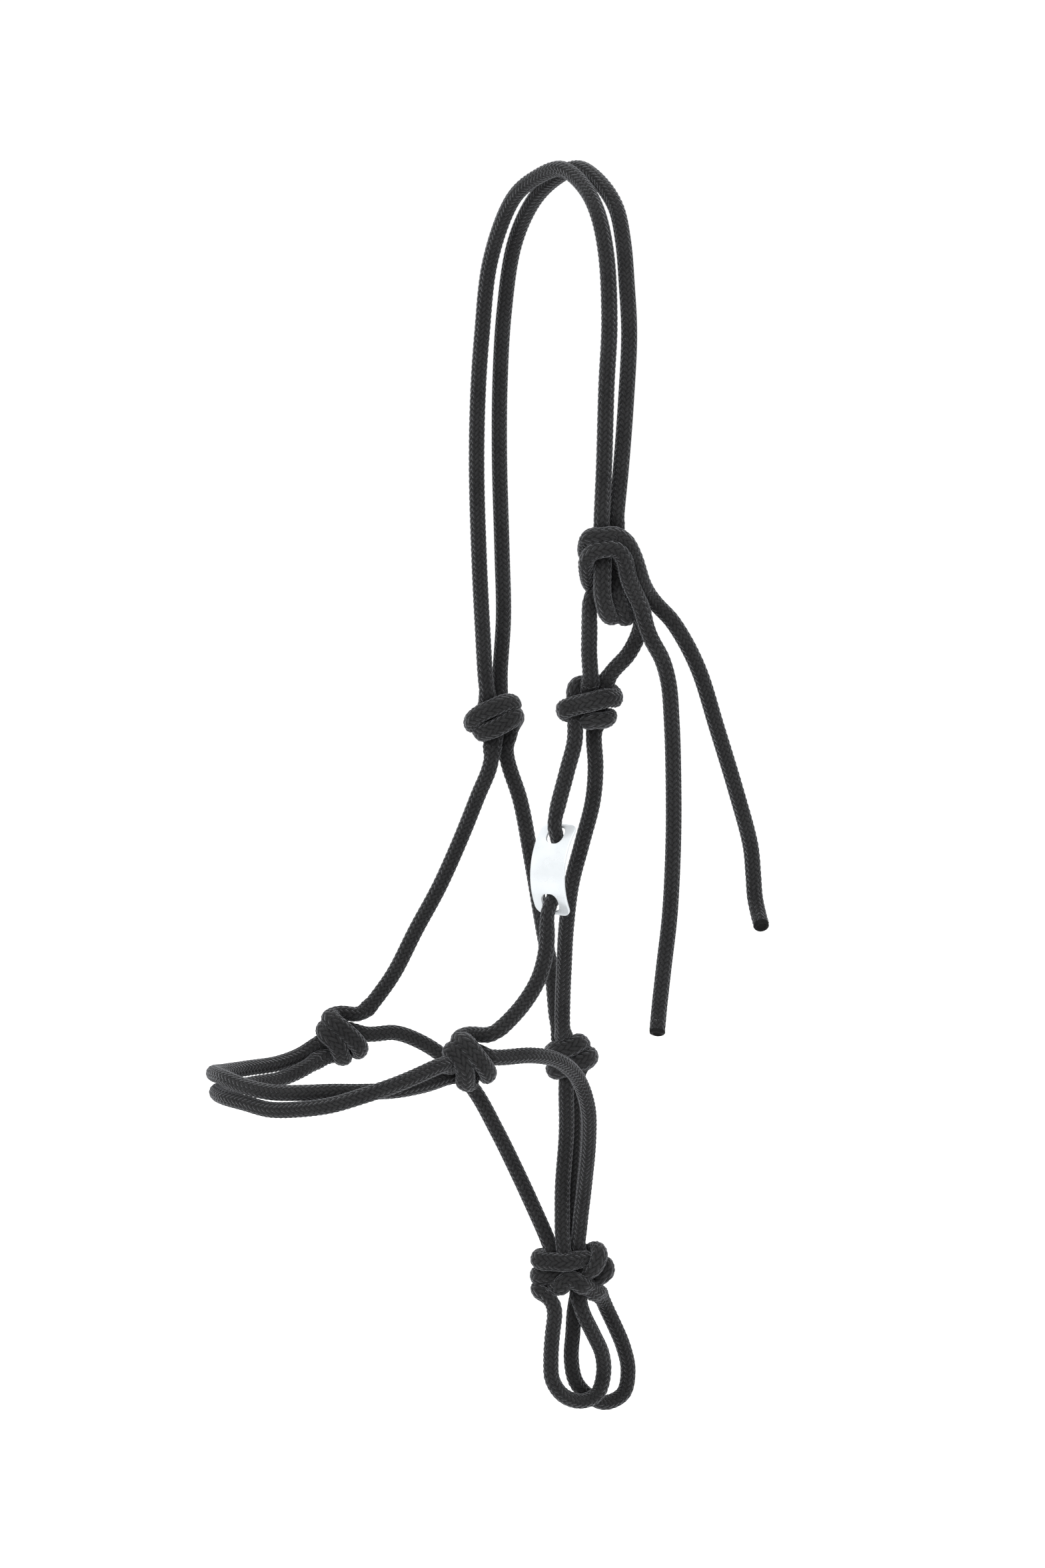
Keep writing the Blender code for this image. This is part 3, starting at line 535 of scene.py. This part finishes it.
def tube_grid(cord, first, last, squeeze=None):
    """Vertices and braid coordinates of the rings from first to last."""
    index = np.arange(first, last + 1)
    turn = np.linspace(0, 2 * np.pi, SIDES, endpoint=False)
    along = index * cord.ring_step / YARN_PITCH
    around = turn / (2 * np.pi) * CARRIERS
    height = braid_height(along[:, None], around[None, :])
    radius = CORE_RADIUS + BRAID_HEIGHT * height
    if squeeze is not None:
        radius = radius * squeeze(cord.rings[index])[:, None]
    ahead, side, other = (f[index] for f in cord.frames)
    cosine, sine = np.cos(turn)[None, :, None], np.sin(turn)[None, :, None]
    reach = radius[:, :, None] * (cosine * side[:, None, :] + sine * other[:, None, :])
    through = cord.outward[index][:, None, :]
    across = np.cross(ahead, cord.outward[index])[:, None, :]
    pressed = cord.pressed[index][:, None, None]
    reach = (reach + pressed * KNOT_BROADER * np.sum(reach * across, axis=2, keepdims=True) * across
             - pressed * KNOT_THINNER * np.sum(reach * through, axis=2, keepdims=True) * through)
    return cord.rings[index][:, None, :] + reach, along


def rope_piece(name, grids, mat):
    """A mesh of one or more closed tubes with the braid's own coordinates as its UV map."""
    verts, faces, uvs, flat = [], [], [], []
    base = 0
    columns = np.arange(SIDES)
    following = (columns + 1) % SIDES
    yarn = CARRIERS / SIDES
    for grid, along in grids:
        rings = len(grid)
        verts.append(grid.reshape(-1, 3))
        row = base + np.arange(rings - 1)[:, None] * SIDES
        quads = np.stack([row + columns, row + following,
                          row + SIDES + following, row + SIDES + columns], axis=2)
        faces.extend(quads.reshape(-1, 4).tolist())
        here = np.broadcast_to(along[:-1, None], quads.shape[:2])
        there = np.broadcast_to(along[1:, None], quads.shape[:2])
        left = np.broadcast_to(columns * yarn, quads.shape[:2])
        u = np.stack([here, here, there, there], axis=2)
        v = np.stack([left, left + yarn, left + yarn, left], axis=2)
        uvs.append(np.stack([u, v], axis=3).reshape(-1, 2))
        faces.append((base + columns[::-1]).tolist())
        faces.append((base + (rings - 1) * SIDES + columns).tolist())
        uvs.append(np.column_stack([np.full(SIDES, along[0]), columns[::-1] * yarn]))
        uvs.append(np.column_stack([np.full(SIDES, along[-1]), columns * yarn]))
        flat.extend([len(faces) - 2, len(faces) - 1])
        base += rings * SIDES
    mesh = bpy.data.meshes.new(name)
    mesh.from_pydata(np.vstack(verts) * MM, [], faces)
    layer = mesh.uv_layers.new(name="braid")
    layer.data.foreach_set("uv", np.vstack(uvs).astype(np.float32).ravel())
    smooth = np.ones(len(faces), bool)
    smooth[flat] = False
    mesh.polygons.foreach_set("use_smooth", smooth)
    mesh.materials.append(mat)
    obj = bpy.data.objects.new(name, mesh)
    bpy.context.scene.collection.objects.link(obj)
    return obj


# ---------------------------------------------------------------- node helpers
class Nodes:
    """A material's node tree, with short ways to add what the materials here need."""

    def __init__(self, name):
        self.material = bpy.data.materials.new(name)
        self.material.use_nodes = True
        self.tree = self.material.node_tree
        self.shader = self.tree.nodes["Principled BSDF"]

    def add(self, kind, inputs=None, **settings):
        node = self.tree.nodes.new(kind)
        for key, value in settings.items():
            setattr(node, key, value)
        for key, value in (inputs or {}).items():
            self.put(value, node.inputs[key])
        return node

    def put(self, value, socket):
        if isinstance(value, bpy.types.NodeSocket):
            self.tree.links.new(value, socket)
        else:
            socket.default_value = value

    def math(self, operation, *values):
        node = self.add("ShaderNodeMath", operation=operation)
        for value, socket in zip(values, node.inputs):
            self.put(value, socket)
        return node.outputs[0]

    def noise(self, vector, scale, detail=2.0):
        node = self.add("ShaderNodeTexNoise", {"Vector": vector, "Scale": scale, "Detail": detail})
        return node.outputs["Fac"]

    def between(self, value, low, high, to_low=0.0, to_high=1.0):
        inputs = {"Value": value, "From Min": low, "From Max": high, "To Min": to_low, "To Max": to_high}
        return self.add("ShaderNodeMapRange", inputs).outputs[0]

    def blend(self, share, first, second):
        node = self.add("ShaderNodeMix", data_type="RGBA")
        for value, socket in ((share, node.inputs[0]), (first, node.inputs[6]), (second, node.inputs[7])):
            self.put(value, socket)
        return node.outputs[2]

    def bump(self, height, distance, strength=1.0, under=None):
        inputs = {"Height": height, "Distance": distance, "Strength": strength}
        if under is not None:
            inputs["Normal"] = under
        return self.add("ShaderNodeBump", inputs).outputs["Normal"]

    def set(self, **values):
        for key, value in values.items():
            self.put(value, self.shader.inputs[key.replace("_", " ")])
        return self.material


# ---------------------------------------------------------------- materials
def braided_cord():
    """Charcoal polyester braid: slanting yarns, fine filaments, painted shade in the creases and painted
    glints on the yarn crowns.
    """
    n = Nodes("braided_cord")
    uv = n.add("ShaderNodeUVMap", uv_map="braid").outputs[0]
    split = n.add("ShaderNodeSeparateXYZ", {"Vector": uv})
    along, around = split.outputs[0], split.outputs[1]
    one, other = n.math("ADD", around, along), n.math("SUBTRACT", around, along)
    one_id, other_id = n.math("FLOOR", one), n.math("FLOOR", other)
    one_in, other_in = n.math("SUBTRACT", one, one_id), n.math("SUBTRACT", other, other_id)
    turn = n.math("FLOORED_MODULO", n.math("ADD", one_id, other_id), 4.0)
    over = n.math("LESS_THAN", turn, 1.5)
    lead = n.math("SUBTRACT", one_in, other_in)
    across = n.math("MULTIPLY_ADD", over, lead, other_in)
    base = n.math("SUBTRACT", one_in, n.math("MULTIPLY", over, lead))
    along_float = n.math("MULTIPLY", n.math("ADD", n.math("FLOORED_MODULO", turn, 2.0), base), 0.5)
    hump = n.math("POWER", n.math("SINE", n.math("MULTIPLY", across, math.pi)), YARN_ROUNDNESS)
    swell = n.math("POWER", n.math("SINE", n.math("MULTIPLY", along_float, math.pi)), FLOAT_ROUNDNESS)
    height = n.math("MULTIPLY", hump, n.math("MULTIPLY_ADD", swell, 1 - FLOAT_LOWEST, FLOAT_LOWEST))
    which = n.add("ShaderNodeCombineXYZ", {"X": one_id, "Y": other_id, "Z": over}).outputs[0]
    chance = n.add("ShaderNodeTexWhiteNoise", {"Vector": which}, noise_dimensions="3D").outputs["Value"]
    place = n.add("ShaderNodeTexCoord").outputs["Object"]
    fine = n.noise(place, 2600.0, 3.0)
    wander = n.math("ADD", across, n.math("MULTIPLY", fine, 0.12))
    filaments = n.math("SINE", n.math("MULTIPLY", wander, 28.0))
    worn = n.noise(place, 60.0, 3.0)
    yarn = n.blend(chance, YARN_DARK, YARN_LIGHT)
    yarn = n.blend(n.between(worn, 0.35, 0.7), yarn, YARN_WORN)
    # painted glints: pale flecks laid on the yarn crowns
    painted_glint = n.math("MULTIPLY", n.between(fine, 0.60, 0.72), n.between(height, 0.5, 0.9))
    yarn = n.blend(n.math("MULTIPLY", painted_glint, 0.6), yarn, YARN_PAINTED_GLINT)
    # painted shade: the colour darkens towards the creases between the yarns
    colour = n.blend(n.between(height, 0.12, 0.62), CREASE_PAINTED_SHADE, yarn)
    rough = n.between(fine, 0.3, 0.7, 0.62, 0.85)
    relief = n.bump(height, 0.00035, 0.8)
    threads = n.math("MULTIPLY_ADD", filaments, 0.5, n.math("MULTIPLY", fine, 0.9))
    return n.set(Base_Color=colour, Roughness=rough, Normal=n.bump(threads, 0.00007, 0.8, relief),
                 Specular_IOR_Level=0.12, Sheen_Weight=0.55, Sheen_Roughness=0.3, Sheen_Tint=SHEEN)


def sealed_end():
    """Melted polyester: hard, nearly black, uneven."""
    n = Nodes("melted_cord_end")
    place = n.add("ShaderNodeTexCoord").outputs["Object"]
    lumps = n.noise(place, 900.0, 3.0)
    colour = n.blend(n.between(lumps, 0.35, 0.7), MELTED_DARK, MELTED_LIGHT)
    return n.set(Base_Color=colour, Roughness=n.between(lumps, 0.3, 0.7, 0.45, 0.7),
                 Specular_IOR_Level=0.1, Normal=n.bump(lumps, 0.0004, 0.6))


def satin_plate():
    """Pale satin metal with faint handling scratches and a slightly uneven polish."""
    n = Nodes("plate_metal")
    place = n.add("ShaderNodeTexCoord").outputs["Object"]
    stretch = n.add("ShaderNodeMapping", {"Vector": place, "Scale": (2400.0, 2400.0, 130.0)}).outputs[0]
    lines = n.noise(stretch, 1.0, 2.0)
    cloud = n.noise(place, 90.0, 3.0)
    colour = n.blend(n.between(cloud, 0.3, 0.7), PLATE_DARK, PLATE_LIGHT)
    return n.set(Base_Color=colour, Metallic=0.3, Roughness=n.between(cloud, 0.3, 0.7, 0.24, 0.36),
                 Normal=n.bump(lines, 0.00002, 0.25))


# ---------------------------------------------------------------- name plate
def plate_frame():
    """The plate's middle and its directions: along (up the strand), side and front."""
    base, _ = smooth_line(STRANDS["cheek_strand_near"], 1.0)
    k = np.argmin(abs(base[:, 2] - PLATE_HEIGHT))
    along = base[k - PLATE_REACH] - base[k + PLATE_REACH]
    along /= np.linalg.norm(along)
    turn = math.radians(PLATE_TURN)
    front = np.array([math.sin(turn), -math.cos(turn), 0.0])
    front -= along * (front @ along)
    front /= np.linalg.norm(front)
    return base[k] + front * PLATE_STANDOFF, along, np.cross(front, along), front


def route_of(strand):
    """A strand's own points; the near cheek strand weaves through the plate's two slots."""
    route = STRANDS[strand]
    if strand != "cheek_strand_near":
        return route
    middle, along, _, front = plate_frame()
    clear = PLATE_WEAVE[0][0] + WEAVE_MARGIN
    above = [p for p in route if (np.array(p) - middle) @ along > clear]
    below = [p for p in route if (np.array(p) - middle) @ along < -clear]
    steps = PLATE_WEAVE + [(-reach, depth) for reach, depth in PLATE_WEAVE[::-1]]
    return above + [middle + along * reach - front * depth for reach, depth in steps] + below


def squeezed_in_plate(centres):
    """The cord's thickness at each centre, as a share of its own: less where the slots hold it."""
    middle, along, _, _ = plate_frame()
    reach = abs((centres - middle) @ along)
    share = np.clip((reach - PLATE_LENGTH / 2) / SQUEEZE_MARGIN, 0, 1)
    return SQUEEZED + (1 - SQUEEZED) * share * share * (3 - 2 * share)


def rounded_rectangle(centre_x, half_x, half_y, radius):
    points = []
    for sign_x, sign_y, start in ((1, 1, 0), (-1, 1, 90), (-1, -1, 180), (1, -1, 270)):
        for turn in range(0, 91, CORNER_STEP):
            angle = math.radians(start + turn)
            points.append((centre_x + sign_x * (half_x - radius) + radius * math.cos(angle),
                           sign_y * (half_y - radius) + radius * math.sin(angle)))
    return points


def name_plate(mat):
    """A bent plate with two slots and softened edges."""
    curve = bpy.data.curves.new("plate_blank", "CURVE")
    curve.dimensions = "2D"
    curve.fill_mode = "BOTH"
    curve.extrude = (PLATE_THICKNESS / 2 - PLATE_EDGE) * MM
    curve.bevel_depth = PLATE_EDGE * MM
    curve.bevel_resolution = 3
    curve.offset = -PLATE_EDGE * MM
    slot_centre = PLATE_LENGTH / 2 - PLATE_BAR - PLATE_SLOT_LENGTH / 2
    slot = (PLATE_SLOT_LENGTH / 2, PLATE_SLOT_WIDTH / 2, PLATE_SLOT_LENGTH * SLOT_ROUNDNESS)
    for outline in (rounded_rectangle(0, PLATE_LENGTH / 2, PLATE_WIDTH / 2, PLATE_CORNER),
                    rounded_rectangle(slot_centre, *slot), rounded_rectangle(-slot_centre, *slot)):
        spline = curve.splines.new("POLY")
        spline.points.add(len(outline) - 1)
        for point, (x, y) in zip(spline.points, outline):
            point.co = (x * MM, y * MM, 0, 1)
        spline.use_cyclic_u = True
    blank = bpy.data.objects.new("plate_blank", curve)
    bpy.context.scene.collection.objects.link(blank)
    bpy.context.view_layer.update()
    mesh = bpy.data.meshes.new_from_object(blank.evaluated_get(bpy.context.evaluated_depsgraph_get()))
    bpy.data.objects.remove(blank)
    bend_plate(mesh)
    mesh.materials.clear()
    mesh.materials.append(mat)
    obj = bpy.data.objects.new("engraving_plate", mesh)
    bpy.context.scene.collection.objects.link(obj)
    return obj


def bend_plate(mesh):
    """Cuts the blank across finely, bends it to an arc along its length and puts it on the strand."""
    work = bmesh.new()
    work.from_mesh(mesh)
    bmesh.ops.remove_doubles(work, verts=work.verts, dist=0.000005)
    for k in range(1 - PLATE_CUTS // 2, PLATE_CUTS // 2):
        bmesh.ops.bisect_plane(work, geom=work.verts[:] + work.edges[:] + work.faces[:], dist=1e-7,
                               plane_co=(k * PLATE_LENGTH / PLATE_CUTS * MM, 0, 0), plane_no=(1, 0, 0))
    radius = PLATE_BEND_RADIUS * MM
    middle, along, side, front = plate_frame()
    turned = Matrix([along, side, front]).transposed()
    for vert in work.verts:
        angle, reach = vert.co.x / radius, radius + vert.co.z
        local = Vector((reach * math.sin(angle), vert.co.y, reach * math.cos(angle) - radius))
        vert.co = Vector(middle * MM) + turned @ local
    work.to_mesh(mesh)
    work.free()
    mesh.shade_smooth()
    mesh.set_sharp_from_angle(angle=math.radians(PLATE_CREASE))


# ---------------------------------------------------------------- sealed ends of the tails
def sealed_tip(cord, at_start):
    """Rings from where the braid meets the tip to the middle of its melted, dished face."""
    count = int(round(TIP_LENGTH / cord.ring_step))
    lip = int(round(TIP_LIP / cord.ring_step))
    last = 0 if at_start else len(cord.rings) - 1
    outward = -1 if at_start else 1
    index = last - outward * np.arange(count, lip - 1, -1)
    low, high = min(index), max(index)
    grid, along = tube_grid(cord, low, high)
    if at_start:
        grid, along = grid[::-1], along[::-1]
    turn = np.linspace(0, 2 * np.pi, SIDES, endpoint=False)
    ahead, side, other = (f[last] for f in cord.frames)
    uneven = sum(size * np.sin(waves * turn + phase) for size, waves, phase in TIP_WAVES)
    out = np.cos(turn)[:, None] * side + np.sin(turn)[:, None] * other
    extra = []
    for depth, radius in TIP_PROFILE:
        centre = cord.rings[last] - outward * depth * ahead
        ring = centre + (radius + uneven * min(1.0, radius / TIP_WAVY_RADIUS))[:, None] * out
        rise = uneven * TIP_RIM_SHARE * (radius < TIP_RIM_RADIUS)
        extra.append(ring - outward * rise[:, None] * ahead)
    grid = np.concatenate([grid, np.array(extra)])
    along = np.concatenate([along, np.full(len(extra), along[-1])])
    braided = count - lip
    if at_start:
        return grid[::-1], along[::-1], range(0, len(extra))
    return grid, along, range(braided, len(grid) - 1)


# ---------------------------------------------------------------- pieces
def put(obj, body, slot, *nodes):
    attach(obj, body)
    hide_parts(*nodes)


def blend_over(obj, joint, body, direction, slot, *nodes):
    """Bakes the piece's placement into its mesh and hides the given parts."""
    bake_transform(obj)
    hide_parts(*nodes)


def make_halter():
    cord = Cord()
    for knot in KNOTS:
        cord.tighten(knot)
    cord.ease()
    cord.finish()
    rope, melted = braided_cord(), sealed_end()
    inset = int(round(PIECE_INSET / cord.ring_step))
    tip = int(round(TIP_LENGTH / cord.ring_step))
    knots = {}
    for k, (name, _, _) in enumerate(cord.spans):
        first, last = cord.ring_marks[k], cord.ring_marks[k + 1]
        if name not in STRANDS:
            knots.setdefault(name, []).append(tube_grid(cord, first + inset, last - inset))
        elif name == "cheek_strand_near":
            add_near_cheek(cord, first - inset, last + inset, rope)
        elif name.startswith("tail"):
            at_start = k == 0
            span = (first + tip, last + inset) if at_start else (first - inset, last - tip)
            add_tail(cord, name, span, at_start, rope, melted)
        else:
            obj = rope_piece("cord_" + name, [tube_grid(cord, first - inset, last + inset)], rope)
            if name.startswith("nose"):
                blend_over(obj, "noseband_lift", "noseband", NOSEBAND_BEND, "rope", name)
            elif name.startswith("lead"):
                blend_over(obj, "lead_loops_swing", "lead_loops", LOOPS_BEND, "rope", name)
            else:
                put(obj, "root", "rope", name)
    for name, grids in knots.items():
        put(rope_piece("cord_" + name, grids, rope), "root", "rope", name)
    put(name_plate(satin_plate()), "plate", "plate", "name_plate")


def add_near_cheek(cord, first, last, rope):
    """Two pieces that meet behind the plate."""
    middle, along, _, _ = plate_frame()
    reach = (cord.rings[first:last + 1] - middle) @ along
    meet = first + int(np.argmin(abs(reach)))
    for name, span in (("upper", (first, meet)), ("lower", (meet, last))):
        obj = rope_piece("cord_cheek_near_" + name, [tube_grid(cord, *span, squeezed_in_plate)], rope)
        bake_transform(obj)
        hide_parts("cheek_strand_near")


def add_tail(cord, name, span, at_start, rope, melted):
    grid, along, sealed = sealed_tip(cord, at_start)
    tip = rope_piece("cord_" + name + "_tip", [(grid, along)], rope)
    tip.data.materials.append(melted)
    sealed_faces = np.zeros(len(tip.data.polygons), np.int32)
    sealed_faces[sealed.start * SIDES:sealed.stop * SIDES] = 1
    sealed_faces[-2 if at_start else -1] = 1
    tip.data.polygons.foreach_set("material_index", sealed_faces)
    put(tip, name + "_end", "sealed_end", name + "_tip")
    obj = rope_piece("cord_" + name, [tube_grid(cord, *span)], rope)
    blend_over(obj, name + "_swing", name + "_end", TAIL_BEND, "rope", name)
    path = cord.rings[span[0]:span[1] + 1] * MM
    path = path[::-1] if at_start else path


# ---------------------------------------------------------------- camera, floor and light
def add_camera():
    azimuth, elevation = math.radians(CAMERA_AZIMUTH), math.radians(CAMERA_ELEVATION)
    back = Vector((math.sin(azimuth) * math.cos(elevation), -math.cos(azimuth) * math.cos(elevation),
                   math.sin(elevation)))
    data = bpy.data.cameras.new("camera")
    data.lens = CAMERA_LENS
    data.sensor_width = SENSOR_WIDTH
    camera = bpy.data.objects.new("camera", data)
    camera.location = Vector(CAMERA_AIM) + back * CAMERA_DISTANCE
    camera.rotation_euler = (-back).to_track_quat("-Z", "Y").to_euler()
    bpy.context.scene.collection.objects.link(camera)
    bpy.context.scene.camera = camera


def add_floor():
    bpy.ops.mesh.primitive_plane_add(size=FLOOR_SIZE, location=(0, 0, CAD_BOX[0].z - FLOOR_DROP))
    floor = bpy.context.object
    floor.name = "floor"
    n = Nodes("pale_floor")
    floor.data.materials.append(n.set(Base_Color=FLOOR, Roughness=0.9))


def add_lights():
    world = bpy.data.worlds.new("studio")
    bpy.context.scene.world = world
    world.use_nodes = True
    world.node_tree.nodes["Background"].inputs["Color"].default_value = (1, 1, 1, 1)
    world.node_tree.nodes["Background"].inputs["Strength"].default_value = WORLD_LIGHT
    centre = (CAD_BOX[0] + CAD_BOX[1]) / 2
    for name, (azimuth, elevation, distance, size, power) in LAMPS.items():
        a, e = math.radians(azimuth), math.radians(elevation)
        back = Vector((math.sin(a) * math.cos(e), -math.cos(a) * math.cos(e), math.sin(e)))
        data = bpy.data.lights.new(name, "AREA")
        data.size = size
        data.energy = power
        lamp = bpy.data.objects.new(name, data)
        lamp.location = centre + back * distance
        lamp.rotation_euler = (-back).to_track_quat("-Z", "Y").to_euler()
        bpy.context.scene.collection.objects.link(lamp)


bpy.context.scene.view_settings.view_transform = "Standard"
add_camera()
make_halter()
add_floor()
add_lights()
